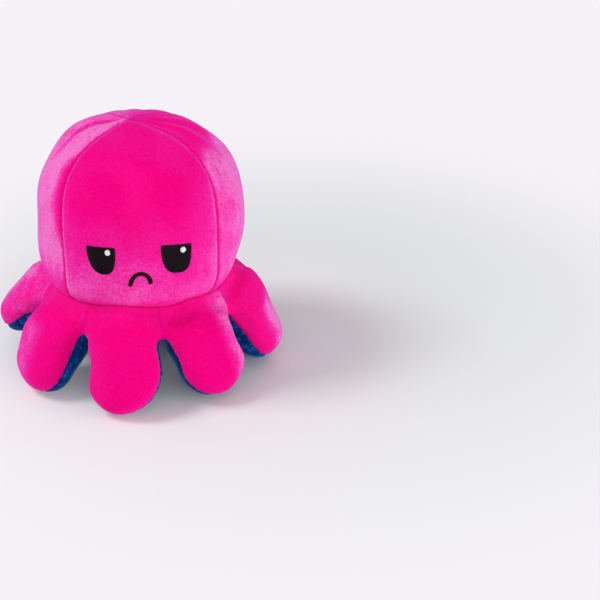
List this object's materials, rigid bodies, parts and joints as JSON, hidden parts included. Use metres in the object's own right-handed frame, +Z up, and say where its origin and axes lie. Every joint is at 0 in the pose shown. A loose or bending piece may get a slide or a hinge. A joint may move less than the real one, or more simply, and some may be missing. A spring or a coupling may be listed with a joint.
{
  "type": "plush octopus",
  "caption": "Reversible plush octopus, pink and frowning outside, blue inside, with a round stuffed head, a pocket under it and stubby stuffed arms that bend.",
  "frame": {"origin": "on the floor, under the middle of the head", "axes": "+Z up; the frowning face looks along -Y, and +X is to the right of someone who looks at it"},
  "size_m": [0.198, 0.198, 0.1802],
  "materials": {
    "pink_plush": "short velvety pile, hot pink",
    "blue_plush": "short velvety pile, royal blue",
    "filling": "white polyester fibre",
    "black_thread": "black satin-stitch embroidery",
    "white_thread": "white satin-stitch embroidery"
  },
  "bodies": {
    "head": {"head_panel_front": "pink_plush", "head_panel_right": "pink_plush", "head_panel_back": "pink_plush", "head_panel_left": "pink_plush", "head_stuffing": "filling", "pocket_panel_front": "blue_plush", "pocket_panel_right": "blue_plush", "pocket_panel_back": "blue_plush", "pocket_panel_left": "blue_plush", "skirt_cover": "pink_plush", "skirt_lining": "blue_plush", "eye_left": "black_thread", "eye_right": "black_thread", "glint_left": "white_thread", "glint_right": "white_thread", "mouth": "black_thread", "inner_eye_left": "black_thread", "inner_eye_right": "black_thread", "inner_glint_left": "white_thread", "inner_glint_right": "white_thread", "inner_mouth": "black_thread"},
    "arm_front": {"arm_front_cover": "pink_plush", "arm_front_lining": "blue_plush", "arm_front_stuffing": "filling"},
    "arm_front_right": {"arm_front_right_cover": "pink_plush", "arm_front_right_lining": "blue_plush", "arm_front_right_stuffing": "filling"},
    "arm_right": {"arm_right_cover": "pink_plush", "arm_right_lining": "blue_plush", "arm_right_stuffing": "filling"},
    "arm_back_right": {"arm_back_right_cover": "pink_plush", "arm_back_right_lining": "blue_plush", "arm_back_right_stuffing": "filling"},
    "arm_back": {"arm_back_cover": "pink_plush", "arm_back_lining": "blue_plush", "arm_back_stuffing": "filling"},
    "arm_back_left": {"arm_back_left_cover": "pink_plush", "arm_back_left_lining": "blue_plush", "arm_back_left_stuffing": "filling"},
    "arm_left": {"arm_left_cover": "pink_plush", "arm_left_lining": "blue_plush", "arm_left_stuffing": "filling"},
    "arm_front_left": {"arm_front_left_cover": "pink_plush", "arm_front_left_lining": "blue_plush", "arm_front_left_stuffing": "filling"}
  },
  "joints": [
    {"name": "arm_front_lift", "type": "hinge", "parent": "head", "child": "arm_front", "pos_m": [-0.0128, -0.06293, 0.047], "axis": [-0.9799, 0.1994, 0], "range_deg": [-20, 65], "stiffness_Nm_per_rad": 0.12},
    {"name": "arm_front_right_lift", "type": "hinge", "parent": "head", "child": "arm_front_right", "pos_m": [0.03544, -0.05355, 0.047], "axis": [-0.8339, -0.5519, 0], "range_deg": [-20, 65], "stiffness_Nm_per_rad": 0.12},
    {"name": "arm_right_lift", "type": "hinge", "parent": "head", "child": "arm_right", "pos_m": [0.06293, -0.0128, 0.047], "axis": [-0.1994, -0.9799, 0], "range_deg": [-20, 65], "stiffness_Nm_per_rad": 0.12},
    {"name": "arm_back_right_lift", "type": "hinge", "parent": "head", "child": "arm_back_right", "pos_m": [0.05355, 0.03544, 0.047], "axis": [0.5519, -0.8339, 0], "range_deg": [-20, 65], "stiffness_Nm_per_rad": 0.12},
    {"name": "arm_back_lift", "type": "hinge", "parent": "head", "child": "arm_back", "pos_m": [0.0128, 0.06293, 0.047], "axis": [0.9799, -0.1994, 0], "range_deg": [-20, 65], "stiffness_Nm_per_rad": 0.12},
    {"name": "arm_back_left_lift", "type": "hinge", "parent": "head", "child": "arm_back_left", "pos_m": [-0.03544, 0.05355, 0.047], "axis": [0.8339, 0.5519, 0], "range_deg": [-20, 65], "stiffness_Nm_per_rad": 0.12},
    {"name": "arm_left_lift", "type": "hinge", "parent": "head", "child": "arm_left", "pos_m": [-0.06293, 0.0128, 0.047], "axis": [0.1994, 0.9799, 0], "range_deg": [-20, 65], "stiffness_Nm_per_rad": 0.12},
    {"name": "arm_front_left_lift", "type": "hinge", "parent": "head", "child": "arm_front_left", "pos_m": [-0.05355, -0.03544, 0.047], "axis": [-0.5519, 0.8339, 0], "range_deg": [-20, 65], "stiffness_Nm_per_rad": 0.12}
  ]
}
